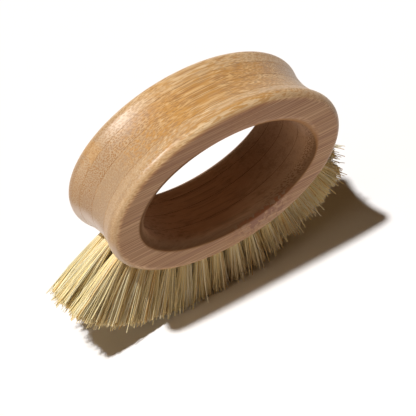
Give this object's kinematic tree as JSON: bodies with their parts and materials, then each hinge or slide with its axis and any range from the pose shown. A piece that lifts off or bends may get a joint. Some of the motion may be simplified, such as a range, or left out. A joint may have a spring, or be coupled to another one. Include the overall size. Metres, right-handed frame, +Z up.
{
  "type": "kitchen brush",
  "caption": "Oval scrubbing brush: a laminated bamboo ring with a finger hole and a grooved rim, and rows of plant fibre tufts fanned round its lower half.",
  "frame": {"origin": "centre of the bounding box at its bottom, on the surface that the bristle tips stand on", "axes": "+X along the ring's length, +Y from the near face to the far face of the ring, +Z up from the bristle tips to the top of the ring"},
  "size_m": [0.164, 0.038, 0.1168],
  "materials": {
    "bamboo_near": "oiled satin bamboo",
    "bamboo_second": "oiled satin bamboo, paler board",
    "bamboo_third": "oiled satin bamboo, darker speckled board",
    "bamboo_far": "oiled satin bamboo",
    "plant_fibre": "stiff cut plant fibre, matt"
  },
  "bodies": {
    "root": {"board_near": "bamboo_near", "board_second": "bamboo_second", "board_third": "bamboo_third", "board_far": "bamboo_far", "tuft_near_01": "plant_fibre", "tuft_near_02": "plant_fibre", "tuft_near_03": "plant_fibre", "tuft_near_04": "plant_fibre", "tuft_near_05": "plant_fibre", "tuft_near_06": "plant_fibre", "tuft_near_07": "plant_fibre", "tuft_near_08": "plant_fibre", "tuft_near_09": "plant_fibre", "tuft_near_10": "plant_fibre", "tuft_near_11": "plant_fibre", "tuft_near_12": "plant_fibre", "tuft_near_13": "plant_fibre", "tuft_near_14": "plant_fibre", "tuft_near_15": "plant_fibre", "tuft_middle_01": "plant_fibre", "tuft_middle_02": "plant_fibre", "tuft_middle_03": "plant_fibre", "tuft_middle_04": "plant_fibre", "tuft_middle_05": "plant_fibre", "tuft_middle_06": "plant_fibre", "tuft_middle_07": "plant_fibre", "tuft_middle_08": "plant_fibre", "tuft_middle_09": "plant_fibre", "tuft_middle_10": "plant_fibre", "tuft_middle_11": "plant_fibre", "tuft_middle_12": "plant_fibre", "tuft_middle_13": "plant_fibre", "tuft_middle_14": "plant_fibre", "tuft_middle_15": "plant_fibre", "tuft_middle_16": "plant_fibre", "tuft_far_01": "plant_fibre", "tuft_far_02": "plant_fibre", "tuft_far_03": "plant_fibre", "tuft_far_04": "plant_fibre", "tuft_far_05": "plant_fibre", "tuft_far_06": "plant_fibre", "tuft_far_07": "plant_fibre", "tuft_far_08": "plant_fibre", "tuft_far_09": "plant_fibre", "tuft_far_10": "plant_fibre", "tuft_far_11": "plant_fibre", "tuft_far_12": "plant_fibre", "tuft_far_13": "plant_fibre", "tuft_far_14": "plant_fibre", "tuft_far_15": "plant_fibre"}
  },
  "joints": []
}
